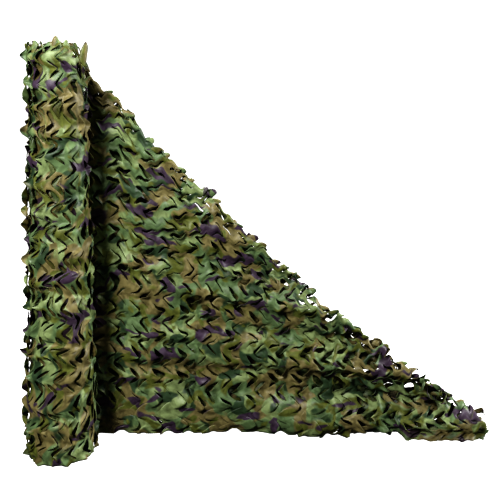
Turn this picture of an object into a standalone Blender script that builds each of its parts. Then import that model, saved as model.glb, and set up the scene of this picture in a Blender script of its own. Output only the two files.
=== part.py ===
"""A roll of leaf-cut camouflage net standing on its end, its loose end drawn out to one side.

Metres, +Z up. The origin is the centre of the roll's flat base. +X runs along the loose end,
which leaves the roll at its back (+Y), and the net's front looks along -Y.
"""
import math
import random

import bmesh
import bpy

# The net
NET_WIDTH = 1.50
CLOTH_THICKNESS = 0.002
TOUCH_GAP = 0.0003
LEAF_SEED = 11

# The wound roll, a little narrower at its top and leaning a little along +X
ROLL_HEIGHT = 1.485
BASE_RADIUS = 0.1375
TOP_RADIUS = 0.1075
TOP_LEAN = 0.027
TURN_STEP = 0.006
TURN_STEP_ANGLE = math.radians(4.0)
LEAVING_ANGLE = math.radians(90.0)
BULGE = 0.003

# Leaf tongues raised on the roll: rows of points, four columns and four rows to a repeat
ROLL_LEAVES_ROUND = 8
ROLL_LEAF_ROWS = 17
ROLL_TONGUE_LIFT = 0.008
ROLL_SLIT_SINK = 0.002
SEAM_FADE_START = math.radians(14.0)
SEAM_FADE_END = math.radians(42.0)
RIM_TIP_HEIGHT = 0.030
RIM_DROP = 0.030
END_TURNS = 2
END_RINGS = 8
END_TURN_RELIEF = 0.007
END_SINK = 0.010

# The loose end as it is cut flat: a rectangle, folded back over a slanting line
FLAP_START = -0.020
FLAP_LENGTH = 1.610
FOLD_TOP = 1.555
FOLD_SLOPE = 0.912
FOLD_HALF_WIDTH = 0.010
ROW_DRAW_IN = 0.217
COLUMN_LEAN = 0.07
LEAN_FULL_AT = 0.45
RIDGE_RIPPLE = 0.006
RIDGE_RIPPLE_WAVE = 0.17
FLAP_PLANE = 0.139
ROLL_TO_PLANE = 0.50
FLOOR_CLEARANCE = 0.0012

# Gaps of the loose end, at most twice the net's own pitch of 88 mm
REPEAT_LENGTH = 0.140
REPEAT_HEIGHT = 0.136
GAP_WIDTH = 0.020
FLAP_TONGUE_LIFT = 0.012
LIFT_START = 0.16
LIFT_FULL = 0.32

# Distance between its two layers, and the soft folds they share
LAYER_GAP_AT_FOLD = 0.018
LAYER_GAP_GROWTH = 0.026
LAYER_GAP_REACH = 0.15
HEAP_GAP = 0.040
HEM_TOE = 0.040
HEM_TOE_HEIGHT = 0.035
HEM_TOE_START = 1.15
HEM_TOE_FULL = 1.35
FOLD_DEPTH = 0.026
FOLD_WAVE = 0.26
SWAY_DEPTH = 0.008
SWAY_WAVE = 0.52

COLUMNS_PER_REPEAT = 4
ROWS_PER_REPEAT = 4


def clear_scene():
    for old in list(bpy.data.objects):
        bpy.data.objects.remove(old, do_unlink=True)


def cloth_material(name, colour, roughness):
    finish = bpy.data.materials.new(name)
    finish.use_nodes = True
    shader = finish.node_tree.nodes["Principled BSDF"]
    shader.inputs["Base Color"].default_value = (*colour, 1.0)
    shader.inputs["Roughness"].default_value = roughness
    shader.inputs["Metallic"].default_value = 0.0
    return finish


def smooth_step(value):
    value = min(max(value, 0.0), 1.0)
    return value * value * (3.0 - 2.0 * value)


def zigzag(row):
    """0 at a repeat's first row, 1 at its middle row, and straight in between."""
    phase = (row % ROWS_PER_REPEAT) / ROWS_PER_REPEAT
    return 1.0 - abs(2.0 * phase - 1.0)


def column_offset(column, repeat, gap):
    """Where a grid column lies: each repeat has two narrow columns, which hold the slits."""
    places = (0.0, gap, 0.5 * repeat, 0.5 * repeat + gap)
    whole, part = divmod(column, COLUMNS_PER_REPEAT)
    return whole * repeat + places[part]


def leaf_height(column, row, leaf_random):
    """1 at a tongue's tip, -1 at the ribbon's edge across the slit from it, else 0."""
    part, level = column % COLUMNS_PER_REPEAT, row % ROWS_PER_REPEAT
    size = leaf_random.uniform(0.55, 1.0)
    if (part, level) in ((1, 0), (2, 2)):
        return size
    if (part, level) in ((0, 0), (3, 2)):
        return -1.0
    return 0.0


def is_gap(column, row, rows):
    """A slit runs over two rows of its narrow column, and the next slit is half a repeat away.

    The stretch against the roll, the net's lower edge and its upper edge stay whole.
    """
    part, level = column % COLUMNS_PER_REPEAT, row % ROWS_PER_REPEAT
    inside = column >= COLUMNS_PER_REPEAT - 2 and 0 < row < rows - 1
    return inside and ((part == 0 and level in (3, 0)) or (part == 2 and level in (1, 2)))


def grid_points(bm, columns, rows):
    """A flat grid of the net, with each point's column and row."""
    made = bmesh.ops.create_grid(bm, x_segments=columns, y_segments=rows, size=0.5)
    places = {}
    for point in made["verts"]:
        column = round((point.co.x + 0.5) * columns)
        row = round((point.co.y + 0.5) * rows)
        places[point] = (column, row)
    return places


def roll_radius(height):
    return BASE_RADIUS + (TOP_RADIUS - BASE_RADIUS) * height / ROLL_HEIGHT


def roll_axis(height):
    return TOP_LEAN * height / ROLL_HEIGHT


def shape_roll_wall(places, columns, rows):
    """Bends the grid round the roll: one spiral turn that ends where the loose end leaves."""
    leaf_random = random.Random(LEAF_SEED)
    sweep = 2.0 * math.pi - TURN_STEP_ANGLE
    row_height = ROLL_HEIGHT / rows
    repeat = 2.0 * math.pi * BASE_RADIUS / ROLL_LEAVES_ROUND
    narrow = 0.25 * repeat
    for point, (column, row) in sorted(places.items(), key=lambda item: item[1]):
        along = column_offset(column, repeat, narrow) / (ROLL_LEAVES_ROUND * repeat)
        height = row * row_height
        from_seam = min(along, 1.0 - along) * sweep
        fade = smooth_step((from_seam - SEAM_FADE_START) / (SEAM_FADE_END - SEAM_FADE_START))
        zig = 2.0 * row_height * zigzag(row) / roll_radius(height)
        turn = along * sweep + fade * (zig - row_height / BASE_RADIUS)
        angle = LEAVING_ANGLE - TURN_STEP_ANGLE - turn
        leaf = leaf_height(column, row, leaf_random)
        relief = leaf * ROLL_TONGUE_LIFT if leaf > 0.0 else leaf * ROLL_SLIT_SINK
        bulge = BULGE * math.sin(3.0 * angle + 5.0 * height) * math.sin(7.0 * height + 1.0)
        radius = roll_radius(height) - TURN_STEP * (1.0 - along) + fade * (relief + bulge)
        tip = leaf_random.random() ** 2 * RIM_TIP_HEIGHT * (column % 2)
        drop = RIM_DROP * max(math.cos(angle), 0.0) ** 2
        rise = (tip - drop) * fade if row == rows else 0.0
        point.co = (
            roll_axis(height) + radius * math.cos(angle),
            radius * math.sin(angle),
            height + rise,
        )


def end_loop(bm, low):
    """The open edges at the roll's lower or upper end."""
    middle = 0.5 * ROLL_HEIGHT
    return [
        edge for edge in bm.edges
        if edge.is_boundary and all((end.co.z < middle) == low for end in edge.verts)
    ]


def close_roll_top(bm):
    """The wound end: rings drawn in to the middle, rising and falling with the main turns."""
    centre = roll_axis(ROLL_HEIGHT)
    rim = end_loop(bm, low=False)
    for ring in range(1, END_RINGS):
        made = bmesh.ops.extrude_edge_only(bm, edges=rim)["geom"]
        rim = [item for item in made if isinstance(item, bmesh.types.BMEdge) and item.is_boundary]
        share = 1.0 - ring / END_RINGS
        last = 1.0 - (ring - 1) / END_RINGS
        for point in {end for edge in rim for end in edge.verts}:
            across, back = point.co.x - centre, point.co.y
            angle = math.atan2(back, across)
            wave = math.cos(2.0 * math.pi * END_TURNS * share - angle)
            point.co.x = centre + across * share / last
            point.co.y = back * share / last
            point.co.z = ROLL_HEIGHT - END_SINK + END_TURN_RELIEF * wave
    middle = bmesh.ops.contextual_create(bm, geom=rim)["faces"]
    bmesh.ops.poke(bm, faces=middle)


def build_roll(finish, collection):
    columns = COLUMNS_PER_REPEAT * ROLL_LEAVES_ROUND
    rows = ROWS_PER_REPEAT * ROLL_LEAF_ROWS
    bm = bmesh.new()
    places = grid_points(bm, columns, rows)
    shape_roll_wall(places, columns, rows)
    seam = [edge for edge in bm.edges if edge.is_boundary and is_seam(edge, places, columns)]
    bmesh.ops.bridge_loops(bm, edges=seam)
    bmesh.ops.contextual_create(bm, geom=end_loop(bm, low=True))
    close_roll_top(bm)
    bmesh.ops.recalc_face_normals(bm, faces=bm.faces)
    return finished_object("net_roll", bm, finish, collection)


def is_seam(edge, places, columns):
    first, second = (places[end][0] for end in edge.verts)
    return first == second and first in (0, columns)


def fold_height_flat(along):
    """Height of the slanting fold on the net as it is cut flat."""
    return FOLD_TOP - FOLD_SLOPE * along


def draw_in(along):
    """The rows close up towards the flap's far end."""
    return 1.0 - ROW_DRAW_IN * max(along, 0.0)


def ridge_height(along):
    wave = 2.0 * math.pi * along / RIDGE_RIPPLE_WAVE
    ripple = RIDGE_RIPPLE * (math.sin(wave) + 0.6 * math.sin(1.83 * wave + 1.0))
    return fold_height_flat(along) * draw_in(along) + ripple * smooth_step(8.0 * along)


def column_lean(along, height):
    """The net's upright columns lean out along the flap, more so higher up."""
    return COLUMN_LEAN * height ** 2 * smooth_step(along / LEAN_FULL_AT)


def front_place(along, height):
    """X and Z of a point of the front layer, from its place on the flat net."""
    across = along + column_lean(along, height)
    top = min(fold_height_flat(along) - FOLD_HALF_WIDTH, NET_WIDTH)
    below_ridge = min(height / top, 1.0)
    loose_top = draw_in(along) * NET_WIDTH
    return across, min(ridge_height(across), loose_top) * below_ridge


def back_place(along, height):
    """X and Z of a point past the fold, which hangs down behind the front layer."""
    first = (FOLD_TOP - NET_WIDTH) / FOLD_SLOPE
    end_height = fold_height_flat(FLAP_LENGTH)
    out = (along - first) / (FLAP_LENGTH - first)
    down = (NET_WIDTH - height) / (NET_WIDTH - end_height)
    under_fold = first + down * (FLAP_LENGTH - first)
    fold_height = NET_WIDTH + (end_height - NET_WIDTH) * down
    lean = column_lean(under_fold, fold_height) * (1.0 - (out - down)) ** 2
    straight = NET_WIDTH * (1.0 - out) + end_height * down
    across = under_fold + lean
    return across, straight * ridge_height(across) / fold_height


def layer_gap(across, height):
    """Distance between the two layers: least at the ridge, most in the heap at the far end."""
    below = max(ridge_height(across) - height, 0.0)
    spread = LAYER_GAP_GROWTH * (1.0 - math.exp(-below / LAYER_GAP_REACH))
    heap = HEAP_GAP * (max(across, 0.0) / FLAP_LENGTH) ** 4
    return LAYER_GAP_AT_FOLD + spread + heap


def soft_folds(across, height):
    """Folds along the rows, deeper towards the far end, and a slow sway along the floor."""
    share = max(across, 0.0) / FLAP_LENGTH
    flat_height = height / draw_in(across)
    pleat = math.sin(2.0 * math.pi * flat_height / FOLD_WAVE + 3.0 * share + 0.5)
    sway = math.sin(2.0 * math.pi * across / SWAY_WAVE + 1.5 * height)
    return FOLD_DEPTH * share ** 1.3 * pleat + SWAY_DEPTH * smooth_step(2.0 * share) * sway


def front_depth(across, height):
    """Y of the front layer: against the roll's back, then out to the flap's own plane."""
    against_roll = roll_radius(height) + TOUCH_GAP + 0.5 * CLOTH_THICKNESS
    blend = smooth_step(across / ROLL_TO_PLANE)
    return against_roll + (FLAP_PLANE - against_roll) * blend + soft_folds(across, height)


def hem_toe(across, height):
    """The lower edge lies out over the floor at the heap."""
    share = smooth_step((across - HEM_TOE_START) / (HEM_TOE_FULL - HEM_TOE_START))
    return HEM_TOE * share * math.exp(-((height / HEM_TOE_HEIGHT) ** 2))


def place_flap_point(point, lift):
    along, height = point.co.x, point.co.y
    past_fold = height - fold_height_flat(along)
    if past_fold > FOLD_HALF_WIDTH:
        across, up = back_place(along, height)
        layer = 1.0
    else:
        across, up = front_place(along, height)
        layer = max(0.5 + 0.5 * past_fold / FOLD_HALF_WIDTH, 0.0)
    raised = lift * smooth_step((across - LIFT_START) / (LIFT_FULL - LIFT_START))
    depth = front_depth(across, up) + layer * layer_gap(across, up)
    depth += raised * (2.0 * layer - 1.0) - (1.0 - layer) * hem_toe(across, up)
    point.co = (across, depth, max(up, 0.0) + FLOOR_CLEARANCE)


def lay_out_flat(places, lift_layer, row_height):
    """The net cut flat, its columns bent to zigzags whose corners are the tips of the leaves."""
    leaf_random = random.Random(LEAF_SEED + 1)
    for point, (column, row) in sorted(places.items(), key=lambda item: item[1]):
        straight = column_offset(column, REPEAT_LENGTH, GAP_WIDTH)
        bend = smooth_step(straight / REPEAT_LENGTH)
        zig = 2.0 * row_height * zigzag(row) * bend
        leaf = leaf_height(column, row, leaf_random)
        point[lift_layer] = FLAP_TONGUE_LIFT * max(leaf, 0.0)
        point.co = (FLAP_START + straight + zig, row * row_height, 0.0)


def build_flap(finish, collection):
    rows = ROWS_PER_REPEAT * round(NET_WIDTH / REPEAT_HEIGHT)
    repeats = math.ceil((FLAP_LENGTH - FLAP_START) / REPEAT_LENGTH) + 1
    columns = COLUMNS_PER_REPEAT * repeats
    bm = bmesh.new()
    lift_layer = bm.verts.layers.float.new("lift")
    places = grid_points(bm, columns, rows)
    lay_out_flat(places, lift_layer, NET_WIDTH / rows)
    gaps = [face for face in bm.faces if is_gap(*lower_corner(face, places), rows)]
    bmesh.ops.delete(bm, geom=gaps, context="FACES")
    cut_flat_net(bm)
    drop_offcuts(bm)
    for point in bm.verts:
        place_flap_point(point, point[lift_layer])
    bmesh.ops.recalc_face_normals(bm, faces=bm.faces)
    flap = finished_object("net_flap", bm, finish, collection)
    thickness = flap.modifiers.new("cloth thickness", "SOLIDIFY")
    thickness.thickness = CLOTH_THICKNESS
    thickness.offset = 0.0
    return flap


def lower_corner(face, places):
    """Column and row of the face's lowest left corner."""
    corners = [places[corner] for corner in face.verts]
    return min(column for column, row in corners), min(row for column, row in corners)


def cut_flat_net(bm):
    """Trims the net's far end and adds the two edges of the fold."""
    everything = list(bm.verts) + list(bm.edges) + list(bm.faces)
    bmesh.ops.bisect_plane(
        bm, geom=everything, dist=0.002, plane_co=(FLAP_LENGTH, 0.0, 0.0), plane_no=(1.0, 0.0, 0.0),
        clear_outer=True,
    )
    for side in (-FOLD_HALF_WIDTH, FOLD_HALF_WIDTH):
        everything = list(bm.verts) + list(bm.edges) + list(bm.faces)
        bmesh.ops.bisect_plane(
            bm, geom=everything, dist=0.002, plane_co=(0.0, FOLD_TOP + side, 0.0),
            plane_no=(FOLD_SLOPE, 1.0, 0.0),
        )


def drop_offcuts(bm):
    """Takes away the scraps of ribbon that trimming cut loose from the net."""
    waiting = set(bm.faces)
    pieces = []
    while waiting:
        spread = [waiting.pop()]
        piece = []
        while spread:
            face = spread.pop()
            piece.append(face)
            beside = {other for edge in face.edges for other in edge.link_faces} & waiting
            waiting -= beside
            spread.extend(beside)
        pieces.append(piece)
    pieces.sort(key=len)
    offcuts = [face for piece in pieces[:-1] for face in piece]
    bmesh.ops.delete(bm, geom=offcuts, context="FACES")


def finished_object(name, bm, finish, collection):
    mesh = bpy.data.meshes.new(name)
    bm.to_mesh(mesh)
    bm.free()
    mesh.materials.append(finish)
    mesh.shade_smooth()
    made = bpy.data.objects.new(name, mesh)
    collection.objects.link(made)
    return made


def build_net():
    clear_scene()
    collection = bpy.data.collections.new("camouflage_net")
    bpy.context.scene.collection.children.link(collection)
    rolled = cloth_material("printed_net_rolled", (0.16, 0.20, 0.09), 0.75)
    drawn_out = cloth_material("printed_net_drawn_out", (0.20, 0.25, 0.11), 0.75)
    build_roll(rolled, collection)
    build_flap(drawn_out, collection)


build_net()
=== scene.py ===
"""The looks of a rolled camouflage net: its leaf-cut printed cloth, wound and drawn out.

Metres, +Z up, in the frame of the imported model. The cloth is laid out flat first, with its leaf
slits, and each stretch of it is then bent round the roll or hung over a slanting fold. A place on
the flat net is given by along and height: the loose end begins at 0 along, the roll's turns count
back from there, and the net's lower edge is at height 0.
"""
import math

import bpy
import numpy as np
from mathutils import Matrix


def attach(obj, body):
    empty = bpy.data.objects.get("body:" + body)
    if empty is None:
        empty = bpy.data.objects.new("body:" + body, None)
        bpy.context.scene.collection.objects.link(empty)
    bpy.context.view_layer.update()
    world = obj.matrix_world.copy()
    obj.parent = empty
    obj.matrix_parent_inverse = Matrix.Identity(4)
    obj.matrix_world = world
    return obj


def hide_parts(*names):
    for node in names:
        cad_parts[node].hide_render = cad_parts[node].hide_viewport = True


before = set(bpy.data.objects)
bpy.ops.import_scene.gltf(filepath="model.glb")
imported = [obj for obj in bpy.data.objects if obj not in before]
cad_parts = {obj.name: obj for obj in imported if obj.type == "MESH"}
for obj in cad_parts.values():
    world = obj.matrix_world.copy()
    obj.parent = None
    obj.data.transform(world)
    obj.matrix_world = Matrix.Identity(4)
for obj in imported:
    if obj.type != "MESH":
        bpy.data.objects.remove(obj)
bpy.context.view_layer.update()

bl_info = {
    "name": "Rolled camouflage net",
    "version": (1, 0, 0),
    "blender": (4, 5, 0),
    "location": "3D View > Sidebar > Net",
    "description": "Leaf-cut camouflage net in an upright roll, with its loose end drawn out",
    "category": "Object",
}

# The net and its roll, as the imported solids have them
NET_WIDTH = 1.50
BASE_RADIUS = 0.1375
TOP_RADIUS = 0.1075
ROLL_HEIGHT = 1.485
TOP_LEAN = 0.027
FLOOR_CLEARANCE = 0.0015
LOWEST_CLOTH = 0.0012

# The wound cloth: shallow bulges, and an upper edge that is ragged and falls towards the loose end
TURN_SETTLES_OVER = 0.12
ROLL_BULGE = 0.003
EDGE_FALL = 0.010
SHOULDER_FALL = 0.115
SHOULDER_ROUND = 8
SHOULDER_NARROW = 5
EDGE_RAGGED = 0.004
EDGE_RAGGED_ROUND = 20
EDGE_WAVES = ((1.0, 5.0, 0.0), (0.8, 8.0, 1.0), (0.6, 13.0, 0.0))
SUNK_ROUND = 12
END_TURNS_CORE = 0.97
END_ROWS_SHOWN = 1.6

# The roll's leaves against the loose end's, and how slack they hang on the side away from it
OUTER_TURN_SCALE = 0.705
INNER_TURN_SCALE = 0.86
SLACK_LIFT = 0.30
SLACK_LIFT_AT = -0.23
SLACK_LIFT_WIDTH = 0.09
SLACK_OPENS = 1.1
SLACK_OPENS_AT = -0.27
SLACK_OPENS_WIDTH = 0.13

# The loose end: a rectangle folded back over a slanting line
FLAP_LENGTH = 1.610
FOLD_TOP = 1.555
FOLD_SLOPE = 0.912
FOLD_ROUND = 0.012
FOLD_MARGIN = 0.010
LEAST_FOLD_HEIGHT = 0.01
BACK_LAYER_FROM = 0.03
FRONT_AREA = 1.32
BACK_AREA = 1.10
ROW_DRAW_IN = 0.217
COLUMN_LEAN = 0.07
LEAN_FULL_AT = 0.45

# Its upper edge, the ridge: it ripples, dips beside the roll and sags further out
RIDGE_RIPPLE = 0.006
RIDGE_RIPPLE_WAVE = 0.17
RIDGE_RIPPLE_FULL_AT = 0.125
RIDGE_WAVES = ((1.0, 1.0, 0.0), (0.6, 1.83, 1.0), (0.9, 4.1, 2.0))
RIDGE_DIP = 0.055
RIDGE_DIP_AT = 0.105
RIDGE_DIP_WIDTH = 0.060
RIDGE_SAG = 0.034
RIDGE_SAG_AT = 0.31
RIDGE_SAG_WIDTH = 0.150

# Its depth along Y: from the roll's back out to its own plane, with folds along its rows
FLAP_PLANE = 0.139
ROLL_TO_PLANE = 0.50
ON_ROLL_BACK = 0.0013
ROLL_LEAN_LOST_BY = 0.3
LAYER_GAP_AT_FOLD = 0.018
LAYER_GAP_GROWTH = 0.026
LAYER_GAP_REACH = 0.15
HEAP_GAP = 0.034
FOLD_DEPTH = 0.031
FOLD_GROWTH = 1.3
FOLD_WAVE = 0.26
FOLD_CLIMB = 3.0
FOLD_PHASE = 0.5
SWAY_DEPTH = 0.008
SWAY_WAVE = 0.52
SWAY_LEAN = 1.5
SWAY_FULL_AT = 0.5

# Its lower edge, the hem: it swells forwards, rises in scallops and lies on the tail further out
HEM_SWELL = 0.032
HEM_SWELL_AT = 0.98
HEM_SWELL_LENGTH = 0.20
HEM_SWELL_HEIGHT = 0.11
HEM_SCALLOP = 0.010
HEM_SCALLOP_MOST = 1.5
HEM_SCALLOP_HEIGHT = 0.030
HEM_SCALLOP_WAVE = 0.088
HEM_WAVES = ((1.0, 1.0, 0.0), (0.7, 0.41, 2.0))
HEM_TOE = 0.012
HEM_TOE_HEIGHT = 0.035
HEM_TOE_START = 1.15
HEM_TOE_FULL = 1.35
HEM_LIFT = 0.010

# Its tail: the net's lower edge, turned out on the floor at the far end
TAIL_START = 1.04
TAIL_LENGTH = 0.56
TAIL_WIDTH = 0.15
TAIL_LEAN = 0.1
TAIL_NEAR = 0.008
TAIL_FAR = 0.058
TAIL_OUT_AT = 1.275
TAIL_OUT_OVER = 0.015
TAIL_OUT = 0.062
TAIL_RAGGED = 0.006
TAIL_LONG_WAVE = 0.11
TAIL_SHORT_WAVE = 0.041
TAIL_HUMP = 0.034
TAIL_HUMP_LOST = 0.018
TAIL_CLEARANCE = 0.004
TAIL_RISE = 0.045

# How the flat net is cut, and the relief that its rows and its far heap give it
ZIGZAG_DEPTH = 0.52
ZIGZAG_SHARPNESS = 0.960
ROW_PLEAT = 0.0035
HEAP_RELIEF = 1.3
HEAP_STARTS_AT = 0.8
HEAP_GROWS_OVER = 0.6
SHUT_LAP = 0.75
STILL_EDGE = 0.15
BESIDE_SLIT = 1e-6
SURFACE_STEP = 0.002

# How a net's single leaves stand: angles in radians, and shares of what the net gives them
LEAF_COLUMNS = 64
LEAF_LEVELS = 40
LEAF_RAISED_FROM = 0.88
LEAF_RAISED_BY = 2.2
LEAF_TUCKED_BELOW = 0.13
LEAF_TUCKED_BY = -0.6
LEAF_ANGLES = (-0.85, 1.60)
LEAF_TWIST = 0.42
LEAF_CURLS = (0.5, 1.6)
LEAF_OPENS = (0.6, 1.5)
LEAF_BLUNTNESS = 1.4
LEAF_BEND = 0.80
LEAF_CURL_BEND = 0.30
LEAF_PULLS_BACK = 0.4
LEAF_NARROWS = 0.45
RIBBON_NARROWS = 0.25
RIBBON_SINKS = 0.20
RIBBON_EDGE = 0.014
SLIT_END_SHARE = 5.0
SLIT_MIDDLE_SHARE = 0.2
USUAL_LOOSENESS = 0.85
LOOSENESS_VARIES = 0.45
LOOSENESS_LIMITS = (0.15, 1.6)

# Single standing leaves on the rim and the ridge, and where on the print each is cut from
# The grid runs from 0 at a leaf's root to 1 at its tip, and from -1 to 1 across it
LEAF_GRID = np.meshgrid(np.linspace(0.0, 1.0, 8), np.linspace(-1.0, 1.0, 6), indexing="ij")
LEAF_TAPER = 0.28
LEAF_TIP_ROUND = 0.55
LEAF_CROWN = 0.15
LEAF_CUP = 0.004
LEAF_FILL = 0.85
LEAF_PRINT_STEP = 0.21
LEAF_PRINT_HEIGHT = 0.9
LEAF_PRINT_HALF_WIDTH = 0.018
LEAF_PRINT_LENGTH = 0.045
RIM_INSET = 0.012
RIDGE_LEAVES = 32
RIDGE_LEAVES_FROM = 0.11
RIDGE_LEAVES_OVER = 1.41
RIDGE_ROOT_ABOVE = 0.002
RIDGE_ROOT_DEPTH = 0.006

# Finish of the cloth. Its mottling and its painted shade, which darkens the reverse side and the
# roll's deeper turns, are given as shares of red, green and blue
MOTTLING_LEAVES = (0.60, 0.60, 0.56)
PAINTED_SHADE_TAKES = (0.80, 0.84, 1.0)
REVERSE_PAINTED_SHADE = 0.55
DEEP_TURNS_PAINTED_SHADE = 0.6
CREASE_SIZE = 0.007
CREASE_HEIGHT = 0.0007

# Camera, worked out from the photograph of 500 x 500 pixels
CAMERA_PITCH = math.radians(7.0)
CAMERA_BACK = 2.8
CAMERA_HEIGHT = 1.35
CAMERA_ACROSS = 0.6987
CAMERA_LENS = 57.02
CAMERA_SENSOR = 36.0
CAMERA_SHIFT = -0.1358

# Stage: a wide floor and a backdrop round it, and the point that the soft boxes face
STAGE_RADIUS = 30.0
STAGE_MIDDLE = 0.7
FLOOR_BELOW = 0.001
WORLD_LIGHT = 0.07
LIGHTS_FACE = (0.5, 0.0, 0.7)


def hex_to_linear(colour):
    """An sRGB hex colour as linear red, green and blue."""
    values = [int(colour[place:place + 2], 16) / 255.0 for place in (1, 3, 5)]
    return tuple(v / 12.92 if v <= 0.04045 else ((v + 0.055) / 1.055) ** 2.4 for v in values)


def length_property(name, description, metres):
    """A length that a user can change."""
    return bpy.props.FloatProperty(
        name=name, description=description, default=metres, unit="LENGTH")


class NetSizes(bpy.types.PropertyGroup):
    leaf_pitch: length_property("Leaf pitch", "Distance from one leaf column to the next", 0.088)
    leaf_reach: length_property("Leaf reach", "Length of a leaf from its root to its tip", 0.037)
    leaf_half: length_property("Leaf half height", "Half the height of a leaf at its root", 0.036)
    leaf_rows: bpy.props.IntProperty(
        name="Leaf rows", description="Rows of leaves up the loose end", default=15)
    roll_leaf_rows: bpy.props.IntProperty(
        name="Roll leaf rows", description="Rows of leaves up the roll, where the net is closer",
        default=17)
    slit_opening: length_property(
        "Slit opening", "How far a leaf's tip draws back from its slit", 0.010)
    cloth: length_property("Cloth", "Thickness of the cloth", 0.0010)
    turn: length_property("Turn", "How much each turn of the roll adds to its radius", 0.009)
    crumple: length_property("Crumple", "Height of the cloth's creases", 0.0018)


def colour_property(name, description, colour):
    """A colour that a user can change, with an sRGB hex value as its default."""
    return bpy.props.FloatVectorProperty(
        name=name, description=description, subtype="COLOR", size=3, default=hex_to_linear(colour))


class NetColours(bpy.types.PropertyGroup):
    sage: colour_property("Sage", "Pale green of the print", "#717e55")
    green: colour_property("Green", "Middle green of the print", "#556745")
    deep_green: colour_property("Deep green", "Dark green of the print", "#30412b")
    tan: colour_property("Tan", "Earth brown of the print", "#6b6340")
    umber: colour_property("Umber", "Dark purplish brown of the print", "#3b2e3d")
    olive: colour_property("Olive", "Yellowish green of the print's small patches", "#545928")
    floor: colour_property("Floor", "Pale floor and backdrop", "#fcfcfb")


# ---- shapes of the hung cloth


def smooth_step(value):
    value = np.clip(value, 0.0, 1.0)
    return value * value * (3.0 - 2.0 * value)


def rises(value, start, over):
    """0 up to the start, and then a smooth step up to 1."""
    return smooth_step((value - start) / over)


def falls(value, end, over):
    """A smooth step down from 1, which reaches 0 at the end."""
    return smooth_step((end - value) / over)


def bump(place, middle, width):
    """1 at the middle, and next to nothing two widths away from it."""
    return np.exp(-(((place - middle) / width) ** 2))


def overlaid(place, waves):
    """Waves added up, each with its height, how fast it runs and its phase."""
    total = 0.0
    for tall, fast, phase in waves:
        total = total + tall * np.sin(fast * place + phase)
    return total


def roll_radius(height):
    return BASE_RADIUS + (TOP_RADIUS - BASE_RADIUS) * height / ROLL_HEIGHT


def roll_axis(height):
    """X of the roll's middle, which leans towards the loose end."""
    return TOP_LEAN * height / ROLL_HEIGHT


def fold_height_flat(along):
    """Height of the slanting fold on the net as it is cut flat."""
    return FOLD_TOP - FOLD_SLOPE * along


def on_loose_end(along):
    return (along > 0.0) & (along < FLAP_LENGTH)


def is_behind(along, height):
    """Whether a place on the flat net belongs to the layer that is folded down behind."""
    return height > fold_height_flat(along) + BACK_LAYER_FROM


def draw_in(along):
    """The rows close up towards the loose end's far end."""
    return 1.0 - ROW_DRAW_IN * np.maximum(along, 0.0)


def ridge_height(along):
    """Height of the ridge, where the fold hangs."""
    wave = 2.0 * math.pi * along / RIDGE_RIPPLE_WAVE
    ripple = RIDGE_RIPPLE * overlaid(wave, RIDGE_WAVES) * rises(along, 0.0, RIDGE_RIPPLE_FULL_AT)
    dip = RIDGE_DIP * bump(along, RIDGE_DIP_AT, RIDGE_DIP_WIDTH)
    sag = RIDGE_SAG * bump(along, RIDGE_SAG_AT, RIDGE_SAG_WIDTH)
    return fold_height_flat(along) * draw_in(along) + ripple - dip - sag


def column_lean(along, height):
    """The net's upright columns lean out along the floor, more so higher up."""
    return COLUMN_LEAN * height ** 2 * rises(along, 0.0, LEAN_FULL_AT)


def front_place(along, height):
    """X and Z of a point of the front layer, from its place on the flat net."""
    across = along + column_lean(along, height)
    top = np.minimum(fold_height_flat(along) - FOLD_MARGIN, NET_WIDTH)
    below_ridge = np.minimum(height / top, 1.0)
    return across, np.minimum(ridge_height(across), draw_in(along) * NET_WIDTH) * below_ridge


def back_place(along, height):
    """X and Z of a point past the fold, which hangs down behind the front layer."""
    first = (FOLD_TOP - NET_WIDTH) / FOLD_SLOPE
    end_height = fold_height_flat(FLAP_LENGTH)
    out = (along - first) / (FLAP_LENGTH - first)
    down = (NET_WIDTH - height) / (NET_WIDTH - end_height)
    under_fold = first + down * (FLAP_LENGTH - first)
    fold_height = np.maximum(NET_WIDTH + (end_height - NET_WIDTH) * down, LEAST_FOLD_HEIGHT)
    lean = column_lean(under_fold, fold_height) * (1.0 - (out - down)) ** 2
    to_hem = np.clip((out - down) / np.maximum(1.0 - down, 1e-3), 0.0, 1.0)
    straight = NET_WIDTH * (1.0 - out) + end_height * down * (1.0 - to_hem * (1.0 - down ** 4))
    across = under_fold + lean
    return across, straight * ridge_height(across) / fold_height


def layer_gap(across, height):
    """Distance between the two layers: least at the ridge, most in the heap at the far end."""
    below = np.maximum(ridge_height(across) - height, 0.0)
    spread = LAYER_GAP_GROWTH * (1.0 - np.exp(-below / LAYER_GAP_REACH))
    heap = HEAP_GAP * (np.maximum(across, 0.0) / FLAP_LENGTH) ** 4
    return LAYER_GAP_AT_FOLD + spread + heap


def soft_folds(across, height):
    """Folds along the rows, deeper towards the far end, and a slow sway along the floor."""
    share = np.maximum(across, 0.0) / FLAP_LENGTH
    flat_height = height / draw_in(across)
    fold = np.sin(2.0 * math.pi * flat_height / FOLD_WAVE + FOLD_CLIMB * share + FOLD_PHASE)
    sway = np.sin(2.0 * math.pi * across / SWAY_WAVE + SWAY_LEAN * height)
    return (FOLD_DEPTH * share ** FOLD_GROWTH * fold
            + SWAY_DEPTH * rises(share, 0.0, SWAY_FULL_AT) * sway)


def front_depth(across, height):
    """Y of the front layer: against the roll's back, then out to the loose end's own plane."""
    against_roll = roll_radius(height) + ON_ROLL_BACK
    out = rises(across, 0.0, ROLL_TO_PLANE)
    swell = HEM_SWELL * np.exp(
        -((across - HEM_SWELL_AT) / HEM_SWELL_LENGTH) ** 2 - (height / HEM_SWELL_HEIGHT) ** 2)
    return against_roll + (FLAP_PLANE - against_roll) * out + soft_folds(across, height) - swell


def on_tail(across, height):
    """1 along the lower edge where it lies on the net's tail, and 0 away from there."""
    share = rises(across, HEM_TOE_START, HEM_TOE_FULL - HEM_TOE_START)
    return share * bump(height, 0.0, HEM_TOE_HEIGHT)


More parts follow.
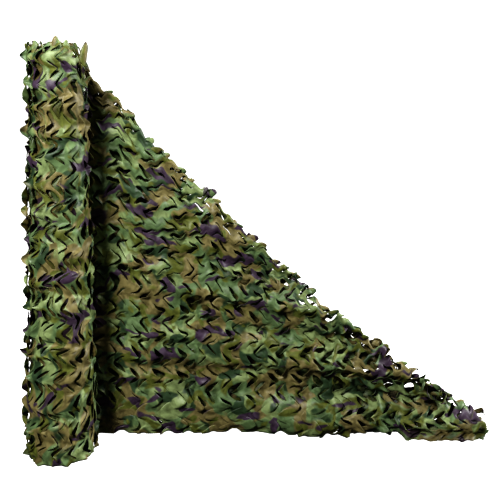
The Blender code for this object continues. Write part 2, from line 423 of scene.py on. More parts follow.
def flap_surface(along, height):
    """Where the loose end hangs: its front layer, the round of the fold, or its back layer."""
    past_fold = height - fold_height_flat(along)
    turn = 0.5 * math.pi * np.clip(past_fold / FOLD_ROUND, -1.0, 1.0)
    front_x, front_z = front_place(along, height)
    back_x, back_z = back_place(along, height)
    behind = past_fold > FOLD_ROUND
    across = np.where(behind, back_x, front_x)
    up = np.where(behind, back_z, front_z)
    across = across + roll_axis(height) * (1.0 - rises(along, 0.0, ROLL_LEAN_LOST_BY))
    layer = 0.5 + 0.5 * np.sin(turn)
    hem = (1.0 - layer) * on_tail(across, up)
    depth = front_depth(across, up) + layer * layer_gap(across, up) - HEM_TOE * hem
    rounding = 0.5 * LAYER_GAP_AT_FOLD * np.cos(turn) * (np.abs(past_fold) < FOLD_ROUND)
    wave = 2.0 * math.pi * along / HEM_SCALLOP_WAVE
    scallop = np.clip(overlaid(wave, HEM_WAVES), 0.0, HEM_SCALLOP_MOST)
    scallop = scallop * bump(height, 0.0, HEM_SCALLOP_HEIGHT)
    up = (np.maximum(up, 0.0) + FLOOR_CLEARANCE + 0.5 * rounding
          + HEM_LIFT * hem + HEM_SCALLOP * scallop)
    return np.stack([across, depth, up], axis=-1)


def tail_surface(along, height):
    """Where the net's tail lies on the floor: between the layers, then out in front of them."""
    across = along + TAIL_LEAN * height
    plane = front_depth(across, 0.0)
    out = rises(across, TAIL_OUT_AT, TAIL_OUT_OVER)
    ragged = (np.sin(2.0 * math.pi * across / TAIL_LONG_WAVE)
              + 0.8 * np.sin(2.0 * math.pi * across / TAIL_SHORT_WAVE))
    near = plane + TAIL_NEAR - out * (TAIL_OUT - TAIL_RAGGED * ragged)
    far = plane + TAIL_FAR
    share = height / TAIL_WIDTH
    on_it = np.clip(share, 0.0, 1.0)
    hump = (TAIL_HUMP - TAIL_HUMP_LOST * out) * np.sin(math.pi * on_it)
    up = TAIL_CLEARANCE + hump + TAIL_RISE * on_it ** 3
    return np.stack([across, near + (far - near) * share, up], axis=-1)


def roll_surface(along, height, turn_step, depth, sunk=0.0):
    """Where the wound cloth lies: along counts back from the roll's back, so it is below 0.

    depth is how far inside the roll's own radius the cloth lies, which leaves room for its leaves,
    and sunk is how far its upper end is drawn down.
    """
    wound = -along
    radius = roll_radius(height)
    left = np.sqrt(np.maximum(1.0 - turn_step * wound / (math.pi * BASE_RADIUS ** 2), 1e-3))
    turned = 2.0 * math.pi * BASE_RADIUS ** 2 / (turn_step * radius) * (1.0 - left)
    angle = 0.5 * math.pi + turned
    bulge = ROLL_BULGE * np.sin(3.0 * angle + 5.0 * height) * np.sin(7.0 * height + 1.0)
    settled = rises(wound, 0.0, TURN_SETTLES_OVER)
    reach = radius * left - depth * settled + bulge * settled
    rise = height / NET_WIDTH
    towards_flap = np.maximum(np.cos(angle), 0.0) ** SHOULDER_NARROW
    ragged = overlaid(angle, EDGE_WAVES)
    drop = (EDGE_FALL * rise + SHOULDER_FALL * rise ** SHOULDER_ROUND * towards_flap
            + EDGE_RAGGED * rise ** EDGE_RAGGED_ROUND * ragged) * settled
    drop = drop + sunk * rise ** SUNK_ROUND
    return np.stack([
        roll_axis(height) + reach * np.cos(angle),
        reach * np.sin(angle),
        height - drop + FLOOR_CLEARANCE,
    ], axis=-1)


# ---- the flat, slit net


def rounded_zigzag(height, pitch):
    """0 at a row's corners and 1 midway between rows, with rounded corners."""
    wave = ZIGZAG_SHARPNESS * np.cos(2.0 * math.pi * height / pitch)
    return 0.5 - 0.5 * (np.arcsin(wave) / math.asin(ZIGZAG_SHARPNESS))


class LeafCut:
    """One way the net is cut: its columns and rows of leaves, from the sizes at a given scale."""

    def __init__(self, sizes, rows, scale=1.0):
        self.rows = rows
        self.row = NET_WIDTH / rows
        self.pitch = sizes.leaf_pitch * scale
        self.reach = sizes.leaf_reach * scale
        self.half = sizes.leaf_half * sizes.leaf_rows / rows
        self.zigzag = ZIGZAG_DEPTH * self.row


class Ripples:
    """A smooth field of overlaid waves, each of its own direction, length and phase."""

    def __init__(self, random, count, longest, shortest, fall):
        self.waves = random.normal(0.0, 1.0, (count, 2))
        self.waves /= np.linalg.norm(self.waves, axis=1)[:, None]
        self.lengths = np.geomspace(longest, shortest, count)
        self.phases = random.uniform(0.0, 2.0 * math.pi, count)
        self.heights = (self.lengths / longest) ** fall
        self.heights /= np.linalg.norm(self.heights) / math.sqrt(2.0)

    def at(self, along, height):
        total = np.zeros_like(along)
        for wave, length, phase, tall in zip(self.waves, self.lengths, self.phases, self.heights):
            angle = 2.0 * math.pi * (along * wave[0] + height * wave[1]) / length + phase
            total += tall * np.sin(angle)
        return total


class Leaves:
    """How each leaf of a cut net stands, and the creases of its cloth, from one seed.

    The leaves' angles have lift as their mean and spread as their deviation. most_lift is how far
    a tip may stand off, and wander how far rows and columns stray. How far a tip draws back and
    how high the creases are come from the sizes, by the shares opens and creased.
    """

    def __init__(self, sizes, seed, cut, lift, spread, most_lift,
                 opens=1.0, creased=1.0, wander=0.006):
        random = np.random.default_rng(seed)
        self.cut = cut
        self.most_lift = most_lift
        self.opening = opens * sizes.slit_opening
        self.crumple = creased * sizes.crumple
        self.wander = wander
        shape = (LEAF_COLUMNS, LEAF_LEVELS, 2)
        angles = random.normal(lift, spread, shape)
        draws = random.random(shape)
        angles = np.where(draws > LEAF_RAISED_FROM, angles + LEAF_RAISED_BY * spread, angles)
        angles = np.where(draws < LEAF_TUCKED_BELOW, LEAF_TUCKED_BY * angles, angles)
        self.angle = np.clip(angles, *LEAF_ANGLES)
        self.twist = random.normal(0.0, LEAF_TWIST, shape)
        self.curl = random.uniform(*LEAF_CURLS, shape)
        self.open = random.uniform(*LEAF_OPENS, shape)
        self.crumples = Ripples(random, count=26, longest=0.160, shortest=0.030, fall=1.0)
        self.drift_across = Ripples(random, count=16, longest=0.60, shortest=0.07, fall=0.45)
        self.drift_up = Ripples(random, count=16, longest=0.60, shortest=0.07, fall=0.45)
        self.slackness = Ripples(random, count=12, longest=0.50, shortest=0.08, fall=0.3)

    def creases(self, along, height):
        """Crumples of the cloth."""
        return self.crumples.at(along, height) * self.crumple

    def drift(self, along, height):
        """How far the columns and rows wander. The rows keep still at the net's edges."""
        inner = rises(height, 0.0, STILL_EDGE) * falls(height, NET_WIDTH, STILL_EDGE)
        return (self.wander * self.drift_across.at(along, height),
                self.wander * self.drift_up.at(along, height) * inner)

    def looseness(self, along, height):
        """Stretches where the slits gape, and others where they stay nearly shut."""
        varied = USUAL_LOOSENESS + LOOSENESS_VARIES * self.slackness.at(along, height)
        return np.clip(varied, *LOOSENESS_LIMITS)

    def slit_of(self, unbent, kind):
        """Which column's slit bounds each point on its leaf's side, and how far inside it lies."""
        if kind == 0:
            column = np.floor(unbent / self.cut.pitch).astype(int)
            return column, unbent - column * self.cut.pitch
        column = np.ceil(unbent / self.cut.pitch - 0.5).astype(int)
        return column, (column + 0.5) * self.cut.pitch - unbent

    def lifted(self, unbent, height, openness):
        """Each point's shift along, climb and lift, from its place among the unbent columns.

        A leaf bends up from its root and draws back from its slit. The ribbon beyond the slit
        narrows there too, and sinks a little under the leaf.
        """
        cut = self.cut
        shift = np.zeros_like(unbent)
        climb = np.zeros_like(unbent)
        lift = np.zeros_like(unbent)
        for kind, direction in ((0, 1.0), (1, -1.0)):
            column, inside = self.slit_of(unbent, kind)
            level = np.round(height / cut.row - 0.5 * kind).astype(int)
            across = (height - (level + 0.5 * kind) * cut.row) / cut.half
            ends = np.clip(1.0 - np.abs(across), 0.0, 1.0)
            index = (column % LEAF_COLUMNS, level % LEAF_LEVELS, kind)
            length = cut.reach * np.minimum(1.0, LEAF_BLUNTNESS * ends)
            from_root = np.maximum(length - inside, 0.0)
            share = from_root / np.maximum(length, 1e-6)
            tip = from_root / cut.reach
            angle = self.angle[index] + self.twist[index] * across
            bent = angle * (LEAF_BEND + LEAF_CURL_BEND * self.curl[index] * tip)
            lift += from_root * np.sin(bent)
            opening = self.opening * self.open[index] * openness
            inward = np.tanh(across / SLIT_MIDDLE_SHARE)
            cut_free = np.minimum(1.0, SLIT_END_SHARE * ends)
            narrowing = opening * cut_free * share
            pulled_back = LEAF_PULLS_BACK * from_root * (1.0 - np.cos(bent))
            shift += direction * (pulled_back + LEAF_NARROWS * narrowing)
            climb -= LEAF_NARROWS * narrowing * inward
            beyond = ((column + int(direction)) % LEAF_COLUMNS, level % LEAF_LEVELS, kind)
            near_slit = cut_free * np.exp(-(cut.pitch - inside) / RIBBON_EDGE)
            opening = self.opening * self.open[beyond] * openness
            shift -= direction * RIBBON_NARROWS * opening * near_slit
            climb += RIBBON_NARROWS * opening * near_slit * inward
            lift -= RIBBON_SINKS * cut.reach * np.sin(self.angle[beyond]) * near_slit
        lift = self.most_lift * np.tanh(lift / self.most_lift)
        return shift, climb, lift


def slit_net(cut, first_column, last_column, column_steps, row_steps):
    """A flat net: its points before their columns are bent to zigzags, their side and its faces.

    Each leaf is cut free along one column, over the stretch about its tip, so the points there are
    doubled: one for the leaf and one for the ribbon. side is which of the two a point is, or 0.
    """
    half = column_steps // 2
    across = np.concatenate([
        np.linspace(0.0, 0.5, half + 1)[:-1], np.linspace(0.5, 1.0, column_steps - half + 1)[:-1]])
    columns = np.concatenate([
        *[across + number for number in range(first_column, last_column)], [last_column]])
    levels = np.linspace(0.0, cut.rows, cut.rows * row_steps + 1)
    column_count, level_count = len(columns), len(levels)
    slit_half = round(cut.half / cut.row * row_steps)
    grid = np.arange(column_count * level_count).reshape(column_count, level_count)
    right = grid.copy()
    side = np.zeros(column_count * level_count)
    doubled = []
    for column in range(half, column_count - 1, half):
        kind = (column // half) % 2
        for level in range(cut.rows + 1):
            middle = level * row_steps + kind * row_steps // 2
            low = middle - slit_half + 1
            high = min(middle + slit_half, level_count)
            if low < 2 or high <= low:  # no slit runs out through the lower edge
                continue
            places = np.arange(low, high)
            right[column, low:high] = column_count * level_count + len(doubled) + places - low
            side[grid[column, low:high]] = -1.0
            doubled.extend(grid[column, low:high])
    unbent = np.repeat(columns, level_count) * cut.pitch
    height = np.tile(levels, column_count) * cut.row
    unbent = np.concatenate([unbent, unbent[doubled]])
    height = np.concatenate([height, height[doubled]])
    side = np.concatenate([side, np.ones(len(doubled))])
    faces = np.stack([
        right[:-1, :-1].ravel(), grid[1:, :-1].ravel(),
        grid[1:, 1:].ravel(), right[:-1, 1:].ravel(),
    ], axis=1)
    return unbent, height, side, faces


def laid_cloth(name, net, leaves, surface, finish, keep=None, outward=1.0, shut_at=None):
    """Bends a flat, slit net onto a surface and gives it its thickness.

    Where shut_at is 1, the leaves lap over the ribbon beside them, so their slits are shut, and
    where it is below 0 the slits gape wider.
    """
    unbent, height, side, faces = net
    cut = leaves.cut
    along = unbent + cut.zigzag * rounded_zigzag(height, cut.row)
    how_open = leaves.looseness(along, height)
    if shut_at is not None:
        shut = shut_at(along, height)
        how_open = how_open * (1.0 - shut) - SHUT_LAP * shut
    shift, climb, lift = leaves.lifted(unbent + side * BESIDE_SLIT, height, how_open)
    drift_across, drift_up = leaves.drift(along, height)
    pleat = ROW_PLEAT * (2.0 * rounded_zigzag(height, cut.row) - 1.0)
    heap = rises(surface(along, height)[:, 0], HEAP_STARTS_AT, HEAP_GROWS_OVER)
    slack = 1.0 + SLACK_LIFT * bump(along, SLACK_LIFT_AT, SLACK_LIFT_WIDTH) * (along < 0.0)
    relief = (lift * slack + leaves.creases(along, height)) * (1.0 + HEAP_RELIEF * heap) + pleat
    if keep is not None:
        faces = faces[keep(along[faces].mean(axis=1), height[faces].mean(axis=1))]
    points = raised(
        surface, along + shift + drift_across, height + climb + drift_up, relief, outward)
    return cloth_object(name, points, faces, along, height, finish, outward)


def raised(surface, along, height, relief, outward):
    """Points of the cloth, each set off its surface along the surface's own normal."""
    right = surface(along + SURFACE_STEP, height) - surface(along - SURFACE_STEP, height)
    above = np.minimum(height + SURFACE_STEP, NET_WIDTH)
    below = np.maximum(height - SURFACE_STEP, 0.0)
    up = surface(along, above) - surface(along, below)
    normal = np.cross(right, up) * outward
    normal /= np.maximum(np.linalg.norm(normal, axis=1), 1e-9)[:, None]
    points = surface(along, height) + normal * relief[:, None]
    points[:, 2] = np.maximum(points[:, 2], LOWEST_CLOTH)
    return points


def cloth_object(name, points, faces, along, height, finish, outward=1.0):
    """A mesh with the flat net as its UV map, thickened to a closed cloth."""
    if outward < 0.0:
        faces = faces[:, ::-1]
    used, faces = np.unique(faces, return_inverse=True)
    faces = faces.reshape(-1, 4)
    points, along, height = points[used], along[used], height[used]
    mesh = bpy.data.meshes.new(name)
    mesh.from_pydata(points.tolist(), [], faces.tolist())
    layer = mesh.uv_layers.new(name="flat net")
    corners = faces.ravel()
    flat = np.stack([along[corners], height[corners]], axis=1)
    layer.data.foreach_set("uv", flat.astype(np.float32).ravel())
    thickness, *materials = finish
    for material in materials:
        mesh.materials.append(material)
    piece = bpy.data.objects.new(name, mesh)
    bpy.context.scene.collection.objects.link(piece)
    bpy.ops.object.select_all(action="DESELECT")
    piece.select_set(True)
    bpy.context.view_layer.objects.active = piece
    thicken = piece.modifiers.new("thickness", "SOLIDIFY")
    thicken.thickness = thickness
    thicken.offset = 0.0
    thicken.material_offset = 1
    thicken.material_offset_rim = 0
    bpy.ops.object.modifier_apply(modifier=thicken.name)
    piece.data.shade_smooth()
    return piece


def set_on_frame(piece, replaced):
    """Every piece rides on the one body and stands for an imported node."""
    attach(piece, "root")
    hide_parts(replaced)


# ---- finishes


def add_node(tree, kind, settings=None, links=None):
    """Adds one node with its settings and input links."""
    node = tree.nodes.new(kind)
    for key, value in (settings or {}).items():
        if key in node.inputs:
            node.inputs[key].default_value = value
        else:
            setattr(node, key, value)
    for key, source in (links or {}).items():
        tree.links.new(source, node.inputs[key])
    return node


def camouflage_print(name, colours, depth):
    """Woodland print on thin woven polyester, matt with a faint satin sheen.

    Depth is painted shade: it darkens the print as a stand-in for the shade on the cloth's other
    side and on turns that lie deeper in the roll.
    """
    material = bpy.data.materials.get(name)
    if material is not None:
        return material
    material = bpy.data.materials.new(name)
    material.use_nodes = True
    tree = material.node_tree
    shader = tree.nodes["Principled BSDF"]
    flat = add_node(tree, "ShaderNodeUVMap", {"uv_map": "flat net"}).outputs["UV"]

    def blotches(size, seed, cut, softness, stretch=1.0):
        """A mask of blotches about one size across, in metres, where the noise is above its cut."""
        moved = add_node(tree, "ShaderNodeMapping", {
            "Location": (seed, 2.7 * seed, 0.0), "Rotation": (0.0, 0.0, 0.5 * seed),
            "Scale": (1.0, stretch, 1.0)}, {"Vector": flat})
        noise = add_node(tree, "ShaderNodeTexNoise", {
            "Scale": 1.0 / size, "Detail": 1.6, "Roughness": 0.5, "Distortion": 0.5,
        }, {"Vector": moved.outputs["Vector"]})
        edge = add_node(tree, "ShaderNodeMapRange", {
            "interpolation_type": "SMOOTHSTEP",
            "From Min": cut - softness, "From Max": cut + softness,
        }, {"Value": noise.outputs["Fac"]})
        return edge.outputs["Result"]

    def laid_over(under, over, mask, blend="MIX"):
        """One colour over another. Inputs 6 and 7 and output 2 are the Mix node's colours."""
        mix = add_node(tree, "ShaderNodeMix", {"data_type": "RGBA", "blend_type": blend})
        for socket, value in (
                (mix.inputs["Factor"], mask), (mix.inputs[6], under), (mix.inputs[7], over)):
            if isinstance(value, bpy.types.NodeSocket):
                tree.links.new(value, socket)
            elif isinstance(value, float):
                socket.default_value = value
            else:
                socket.default_value = (*value, 1.0)
        return mix.outputs[2]

    # The print's patches, each laid over those before it
    colour = tuple(colours.green)
    for patch, mask in (
            (colours.sage, blotches(0.110, seed=1.0, cut=0.51, softness=0.035)),
            (colours.deep_green, blotches(0.095, seed=5.0, cut=0.565, softness=0.020)),
            (colours.tan, blotches(0.125, seed=9.6, cut=0.532, softness=0.018)),
            (colours.olive, blotches(0.070, seed=17.0, cut=0.580, softness=0.03)),
            (colours.umber, blotches(0.110, seed=13.0, cut=0.609, softness=0.015, stretch=1.5))):
        colour = laid_over(colour, tuple(patch), mask)
    mottling = blotches(0.020, seed=21.0, cut=0.50, softness=0.18)
    colour = laid_over(colour, MOTTLING_LEAVES, mottling, "MULTIPLY")
    # Painted shade: depth darkens the print, and takes less of its blue, in place of real shade
    if depth > 0.0:
        shade = tuple(1.0 - depth * share for share in PAINTED_SHADE_TAKES)
        colour = laid_over(colour, shade, 1.0, "MULTIPLY")
    tree.links.new(colour, shader.inputs["Base Color"])

    # The weave's threads are too fine to show, so the bump is the cloth's finest creases
    wrinkle = add_node(tree, "ShaderNodeTexNoise", {
        "Scale": 1.0 / CREASE_SIZE, "Detail": 3.0, "Roughness": 0.6}, {"Vector": flat})
    bump_node = add_node(tree, "ShaderNodeBump", {"Strength": 0.5, "Distance": CREASE_HEIGHT},
                         {"Height": wrinkle.outputs["Fac"]})
    tree.links.new(bump_node.outputs["Normal"], shader.inputs["Normal"])
    shader.inputs["Roughness"].default_value = 0.5
    shader.inputs["Specular IOR Level"].default_value = 0.25
    return material


def cloth_finish(context, depth=0.0):
    """The cloth's thickness and the materials of its two sides. The reverse side always carries
    painted shade, and the front does wherever depth is above 0.
    """
    colours = context.scene.net_colours
    # The deeper turns take the same print, darkened by painted shade
    name = "printed_polyester" if depth == 0.0 else "printed_polyester_deep_painted_shade"
    return (
        context.scene.net_sizes.cloth,
        camouflage_print(name, colours, depth),
        # The reverse side's material is the print darkened by painted shade
        camouflage_print("printed_polyester_reverse_painted_shade", colours, REVERSE_PAINTED_SHADE),
    )


# ---- operators


def columns_round(cut):
    """How many whole columns of leaves go once round the roll's base."""
    return math.ceil(2.0 * math.pi * BASE_RADIUS / cut.pitch)


def finish_turns(piece):
    """Sets wound turns on the frame."""
    set_on_frame(piece, "net_roll")


class NET_OT_outer_turn(bpy.types.Operator):
    """Winds the outermost turn of leaf-cut cloth round the roll"""

    bl_idname = "net.outer_turn"
    bl_label = "Outer turn"

    def execute(self, context):
        sizes = context.scene.net_sizes
        cut = LeafCut(sizes, sizes.roll_leaf_rows, OUTER_TURN_SCALE)
        leaves = Leaves(
            sizes, seed=23, cut=cut, lift=0.50, spread=0.30, most_lift=0.022, opens=0.45,
            wander=0.008)
        columns = columns_round(cut)

        def shut(along, height):
            """Below 0 on the side away from the loose end, where the slack turn's slits gape."""
            return -SLACK_OPENS * bump(along, SLACK_OPENS_AT, SLACK_OPENS_WIDTH)

        piece = laid_cloth(
            "roll_outer_turn", slit_net(cut, -columns, 0, column_steps=12, row_steps=14), leaves,
            lambda along, height: roll_surface(along, height, sizes.turn, depth=0.008),
            cloth_finish(context), outward=-1.0, shut_at=shut)
        finish_turns(piece)
        return {"FINISHED"}


class NET_OT_inner_turn(bpy.types.Operator):
    """Winds the next turn of cloth under the outer one, where it shows through the slits"""

    bl_idname = "net.inner_turn"
    bl_label = "Inner turn"

    def execute(self, context):
        sizes = context.scene.net_sizes
        cut = LeafCut(sizes, sizes.roll_leaf_rows, INNER_TURN_SCALE)
        leaves = Leaves(
            sizes, seed=5, cut=cut, lift=0.05, spread=0.05, most_lift=0.004, opens=0.4)
        columns = columns_round(cut)
        net = slit_net(cut, -2 * columns, -columns, column_steps=6, row_steps=6)
        piece = laid_cloth(
            "roll_inner_turn", net, leaves,
            lambda along, height: roll_surface(along, height, sizes.turn, depth=0.011, sunk=0.010),
            # Painted shade: this turn's print is darkened as it lies deeper in the roll
            cloth_finish(context, DEEP_TURNS_PAINTED_SHADE), outward=-1.0,
            shut_at=lambda along, height: 1.0)
        finish_turns(piece)
        return {"FINISHED"}


class NET_OT_end_turns(bpy.types.Operator):
    """Winds the turns within the roll, as far down as they show at its two ends"""

    bl_idname = "net.end_turns"
    bl_label = "End turns"

    def execute(self, context):
        sizes = context.scene.net_sizes
        cut = LeafCut(sizes, sizes.roll_leaf_rows, INNER_TURN_SCALE)
        leaves = Leaves(
            sizes, seed=11, cut=cut, lift=0.10, spread=0.10, most_lift=0.004, opens=0.3,
            creased=0.4)
        first = 2 * columns_round(cut)
        last = math.floor(END_TURNS_CORE * math.pi * BASE_RADIUS ** 2 / (sizes.turn * cut.pitch))
        shown = END_ROWS_SHOWN * cut.row
        piece = laid_cloth(
            "roll_end_turns", slit_net(cut, -last, -first, column_steps=6, row_steps=6), leaves,
            lambda along, height: roll_surface(along, height, sizes.turn, depth=0.014, sunk=0.020),
            # Painted shade: these turns' print is darkened as they lie deeper in the roll
            cloth_finish(context, DEEP_TURNS_PAINTED_SHADE), outward=-1.0,
            keep=lambda along, height: (height > NET_WIDTH - shown) | (height < shown))
        finish_turns(piece)
        return {"FINISHED"}


def standing_leaf(root, up, across, length, width, lean, bend):
    """One leaf from its root: a rounded tongue that leans sideways and bends over at its tip."""
    tip, side = LEAF_GRID
    half = 0.5 * width * (1.0 - LEAF_TAPER * tip) * np.sqrt(1.0 - LEAF_TIP_ROUND * tip ** 8)
    out = np.cross(across, up)
    sideways = half * side + lean * tip ** 1.5
    rise = length * tip * (1.0 - LEAF_CROWN * side ** 2)
    away = bend * tip ** 2 - LEAF_CUP * side ** 2
    return root + np.stack([
        sideways * across[axis] + rise * up[axis] + away * out[axis] for axis in range(3)
    ], axis=-1)


def loose_leaves(context, name, replaced, leaves):
    """Makes one piece of many standing leaves, which are cut from a strip of the net."""
    tip, side = LEAF_GRID
    grid = np.arange(tip.size).reshape(tip.shape)
    quads = np.stack([grid[:-1, :-1], grid[:-1, 1:], grid[1:, 1:], grid[1:, :-1]], axis=-1)
    faces = [quads.reshape(-1, 4) + number * grid.size for number in range(len(leaves))]
    along = [
        LEAF_PRINT_STEP * number + LEAF_PRINT_HALF_WIDTH * side for number in range(len(leaves))]
    height = [LEAF_PRINT_HEIGHT + LEAF_PRINT_LENGTH * tip for _ in leaves]
    piece = cloth_object(
        name, np.concatenate([leaf.reshape(-1, 3) for leaf in leaves]), np.concatenate(faces),
        np.stack(along).ravel(), np.stack(height).ravel(), cloth_finish(context))
    set_on_frame(piece, replaced)


class NET_OT_rim_leaves(bpy.types.Operator):
    """Stands single leaves up from the roll's upper rim"""

    bl_idname = "net.rim_leaves"
    bl_label = "Rim leaves"

    # Degrees round the roll and faced, root height, length, width, sideways lean, outward bend
    LEAVES = (
        (-160.0, -130.0, 1.450, 0.042, 0.040, -0.006, 0.010),
        (-128.0, -110.0, 1.452, 0.048, 0.036, -0.002, -0.004),
        (-105.0, -105.0, 1.460, 0.038, 0.012, -0.014, -0.004),
        (-76.0, -80.0, 1.438, 0.076, 0.042, -0.006, -0.004),
        (-61.0, -61.0, 1.440, 0.062, 0.034, 0.006, -0.004),
        (-20.0, -70.0, 1.410, 0.088, 0.032, 0.016, -0.004),
        (-14.0, -50.0, 1.345, 0.036, 0.034, 0.016, 0.016),
        (62.0, 62.0, 1.462, 0.040, 0.034, 0.008, 0.008),
        (104.0, 104.0, 1.468, 0.038, 0.028, -0.010, -0.006),
        (150.0, 150.0, 1.466, 0.040, 0.034, 0.010, 0.010),
    )

    def execute(self, context):
        leaves, area = [], 0.0
        for degrees, faced, root, length, width, lean, bend in self.LEAVES:
            angle, facing = math.radians(degrees), math.radians(faced)
            reach = roll_radius(root) - RIM_INSET
            place = np.array([
                roll_axis(root) + reach * math.cos(angle), reach * math.sin(angle), root])
            across = np.array([-math.sin(facing), math.cos(facing), 0.0])
            leaves.append(standing_leaf(
                place, np.array([0.0, 0.0, 1.0]), across, length, width, lean, bend))
            area += LEAF_FILL * length * width
        loose_leaves(context, "rim_leaves", "net_roll", leaves)
        return {"FINISHED"}


class NET_OT_loose_end(bpy.types.Operator):
    """Hangs the loose end: its front layer, the layer folded down behind it, and its tail"""

    bl_idname = "net.loose_end"
    bl_label = "Loose end"

    def execute(self, context):
        sizes = context.scene.net_sizes
        cut = LeafCut(sizes, sizes.leaf_rows)
        columns = math.ceil(FLAP_LENGTH / cut.pitch)
        front = self.front_layer(context, cut, columns)
        back = self.back_layer(context, cut, columns)
        tail = self.tail(context, cut, columns)
        for piece, flat, area in (
                (front, (FLAP_LENGTH, NET_WIDTH), FRONT_AREA),
                (back, (FLAP_LENGTH, NET_WIDTH), BACK_AREA),
                (tail, (TAIL_LENGTH, TAIL_WIDTH), None)):
            set_on_frame(piece, "net_flap")
        return {"FINISHED"}

    def front_layer(self, context, cut, columns):
        leaves = Leaves(
            context.scene.net_sizes, seed=7, cut=cut, lift=0.26, spread=0.24, most_lift=0.020)

        def shut(along, height):
            """Shut past the fold and along the hem, and gaping towards the far end."""
            past_fold = height - fold_height_flat(along)
            by_roll = falls(along, end=0.45, over=0.15)
            by_fold = smooth_step((past_fold + 0.01 + 0.02 * by_roll) / 0.04)
            hem_loosens = 1.0 - 0.85 * rises(along, start=0.95, over=0.15)
            by_hem = 1.3 * falls(height, end=0.17, over=0.06) * hem_loosens
            at_end = 0.3 * rises(along, start=1.47, over=0.05)
            most = np.maximum.reduce([by_fold, by_hem, at_end])
            return most - 0.7 * rises(along, start=0.8, over=0.5) * (1.0 - most)

        return laid_cloth(
            "flap_front_layer", slit_net(cut, -1, columns, column_steps=14, row_steps=16), leaves,
            flap_surface, cloth_finish(context), shut_at=shut,
            keep=lambda along, height: on_loose_end(along) & ~is_behind(along, height))

    def back_layer(self, context, cut, columns):
        leaves = Leaves(
            context.scene.net_sizes, seed=7, cut=cut, lift=0.20, spread=0.08, most_lift=0.022,
            opens=1.6)

        def shut(along, height):
            """Shut from a little past the fold, and sooner near the roll and the far end."""
            past_fold = height - fold_height_flat(along)
            near_ends = falls(along, end=0.45, over=0.15) + rises(along, start=1.1, over=0.2)
            return smooth_step((past_fold - 0.05 + 0.09 * near_ends) / 0.08)

        return laid_cloth(
            "flap_back_layer", slit_net(cut, -1, columns, column_steps=12, row_steps=12), leaves,
            flap_surface, cloth_finish(context), shut_at=shut,
            keep=lambda along, height: on_loose_end(along) & is_behind(along, height))

    def tail(self, context, cut, columns):
        """The tail is turned over, so the cloth's other side, darkened by painted shade, is its
        upper one.
        """
        leaves = Leaves(
            context.scene.net_sizes, seed=17, cut=cut, lift=0.03, spread=0.03, most_lift=0.008,
            opens=0.7)

        def keep(along, height):
            past_start = along - TAIL_START
            return (past_start > 0.0) & (past_start < TAIL_LENGTH) & (height < TAIL_WIDTH)

        thickness, printed, reverse = cloth_finish(context)
        first = math.floor(TAIL_START / cut.pitch) - 1
        net = slit_net(cut, first, columns, column_steps=12, row_steps=12)
        return laid_cloth(
            "flap_tail", net, leaves, tail_surface, (thickness, reverse, printed),
            keep=keep, shut_at=lambda along, height: 1.5)


class NET_OT_ridge_leaves(bpy.types.Operator):
    """Stands single leaves up along the loose end's slanting fold"""

    bl_idname = "net.ridge_leaves"
    bl_label = "Ridge leaves"

    def execute(self, context):
        random = np.random.default_rng(29)
        step = 0.02
        leaves, area = [], 0.0
        for number in range(RIDGE_LEAVES):
            place = (number + random.uniform(0.0, 0.9)) / RIDGE_LEAVES
            across = RIDGE_LEAVES_FROM + RIDGE_LEAVES_OVER * place
            height = float(ridge_height(across))
            fall = float(ridge_height(across + step)) - float(ridge_height(across - step))
            slope = fall / (2.0 * step)
            down_fold = np.array([1.0, 0.0, slope]) / math.hypot(1.0, slope)
            from_fold = np.array([-down_fold[2], 0.0, down_fold[0]])
            length, width = random.uniform(0.016, 0.032), random.uniform(0.026, 0.044)
            behind = random.uniform(-0.2, 0.8) * LAYER_GAP_AT_FOLD
            depth = float(front_depth(across, height)) + behind
            root = np.array([across, depth, height + RIDGE_ROOT_ABOVE])
            leaves.append(standing_leaf(
                root - RIDGE_ROOT_DEPTH * from_fold, from_fold, down_fold, length, width,
                lean=random.uniform(0.002, 0.024), bend=random.uniform(-0.014, 0.008)))
            area += LEAF_FILL * length * width
        loose_leaves(context, "ridge_leaves", "net_flap", leaves)
        return {"FINISHED"}


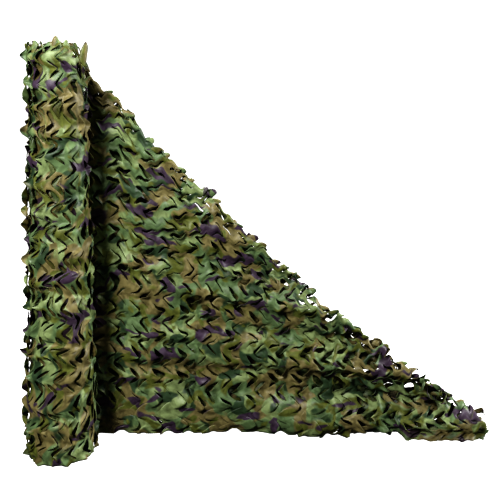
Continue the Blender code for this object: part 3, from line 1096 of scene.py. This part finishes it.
class NET_OT_stage(bpy.types.Operator):
    """Sets the pale floor, the soft studio light and the camera"""

    bl_idname = "net.stage"
    bl_label = "Stage"

    # Each soft box's name, place, width in metres and power in watts
    SOFT_BOXES = (
        ("key", (-0.90, -2.80, 3.2), 1.00, 304.0),
        ("side", (8.0, 0.20, 3.2), 1.9, 940.0),
        ("back", (0.6, 2.8, 2.4), 1.0, 90.0),
    )

    def execute(self, context):
        colours = context.scene.net_colours
        bpy.ops.mesh.primitive_circle_add(
            vertices=96, radius=STAGE_RADIUS, fill_type="NGON",
            location=(STAGE_MIDDLE, 0.0, -FLOOR_BELOW))
        floor = context.object
        floor.name = "floor"
        floor.data.materials.append(self.pale_finish("pale_painted_floor", colours.floor, 0.90))
        bpy.ops.mesh.primitive_uv_sphere_add(
            segments=64, ring_count=32, radius=STAGE_RADIUS, location=(STAGE_MIDDLE, 0.0, 0.0))
        backdrop = context.object
        backdrop.name = "backdrop"
        backdrop.data.materials.append(self.pale_finish("pale_backdrop_cloth", colours.floor, 1.1))
        backdrop.visible_shadow = False
        for piece in (floor, backdrop):
            piece.visible_diffuse = False
            piece.visible_glossy = False
        world = bpy.data.worlds.new("studio")
        world.use_nodes = True
        light = world.node_tree.nodes["Background"]
        light.inputs["Color"].default_value = (1.0, 1.0, 1.0, 1.0)
        light.inputs["Strength"].default_value = WORLD_LIGHT
        context.scene.world = world
        context.scene.view_settings.view_transform = "Standard"
        context.scene.view_settings.look = "High Contrast"
        for box in self.SOFT_BOXES:
            self.add_soft_box(context, *box)
        self.add_camera(context)
        return {"FINISHED"}

    def pale_finish(self, name, colour, glow):
        """Matt white, with a glow of its own so that it stays white all over."""
        pale = bpy.data.materials.new(name)
        pale.use_nodes = True
        shader = pale.node_tree.nodes["Principled BSDF"]
        shader.inputs["Base Color"].default_value = (*(0.5 * value for value in colour), 1.0)
        shader.inputs["Roughness"].default_value = 0.9
        shader.inputs["Specular IOR Level"].default_value = 0.0
        shader.inputs["Emission Color"].default_value = (*colour, 1.0)
        shader.inputs["Emission Strength"].default_value = glow
        return pale

    def add_soft_box(self, context, name, place, size, power):
        """A square soft box at a place, turned towards the net."""
        lamp = bpy.data.lights.new(name, "AREA")
        lamp.size = size
        lamp.energy = power
        light = bpy.data.objects.new(name, lamp)
        context.scene.collection.objects.link(light)
        light.location = place
        aim = np.array(LIGHTS_FACE) - np.array(place)
        down = math.acos(-aim[2] / np.linalg.norm(aim))
        light.rotation_euler = (down, 0.0, math.atan2(aim[1], aim[0]) - 0.5 * math.pi)

    def add_camera(self, context):
        lens = bpy.data.cameras.new("camera")
        lens.lens = CAMERA_LENS
        lens.sensor_width = CAMERA_SENSOR
        lens.shift_y = CAMERA_SHIFT
        camera = bpy.data.objects.new("camera", lens)
        context.scene.collection.objects.link(camera)
        camera.location = (CAMERA_ACROSS, -CAMERA_BACK, CAMERA_HEIGHT)
        camera.rotation_euler = (0.5 * math.pi - CAMERA_PITCH, 0.0, 0.0)
        context.scene.camera = camera


class NET_PT_panel(bpy.types.Panel):
    """Lists the net's operators, sizes and colours"""

    bl_label = "Camouflage net"
    bl_idname = "NET_PT_panel"
    bl_space_type = "VIEW_3D"
    bl_region_type = "UI"
    bl_category = "Net"

    def draw(self, context):
        for operator in OPERATORS:
            self.layout.operator(operator.bl_idname)
        for group in (context.scene.net_sizes, context.scene.net_colours):
            for name in group.__annotations__:
                self.layout.prop(group, name)


OPERATORS = (
    NET_OT_outer_turn, NET_OT_inner_turn, NET_OT_end_turns, NET_OT_rim_leaves, NET_OT_loose_end,
    NET_OT_ridge_leaves, NET_OT_stage)
CLASSES = (NetSizes, NetColours, *OPERATORS, NET_PT_panel)


def register():
    for item in CLASSES:
        bpy.utils.register_class(item)
    bpy.types.Scene.net_sizes = bpy.props.PointerProperty(type=NetSizes)
    bpy.types.Scene.net_colours = bpy.props.PointerProperty(type=NetColours)


def unregister():
    del bpy.types.Scene.net_colours
    del bpy.types.Scene.net_sizes
    for item in reversed(CLASSES):
        bpy.utils.unregister_class(item)


def main():
    register()
    bpy.ops.net.outer_turn()
    bpy.ops.net.inner_turn()
    bpy.ops.net.end_turns()
    bpy.ops.net.rim_leaves()
    bpy.ops.net.loose_end()
    bpy.ops.net.ridge_leaves()
    bpy.ops.net.stage()


if __name__ == "__main__":
    main()
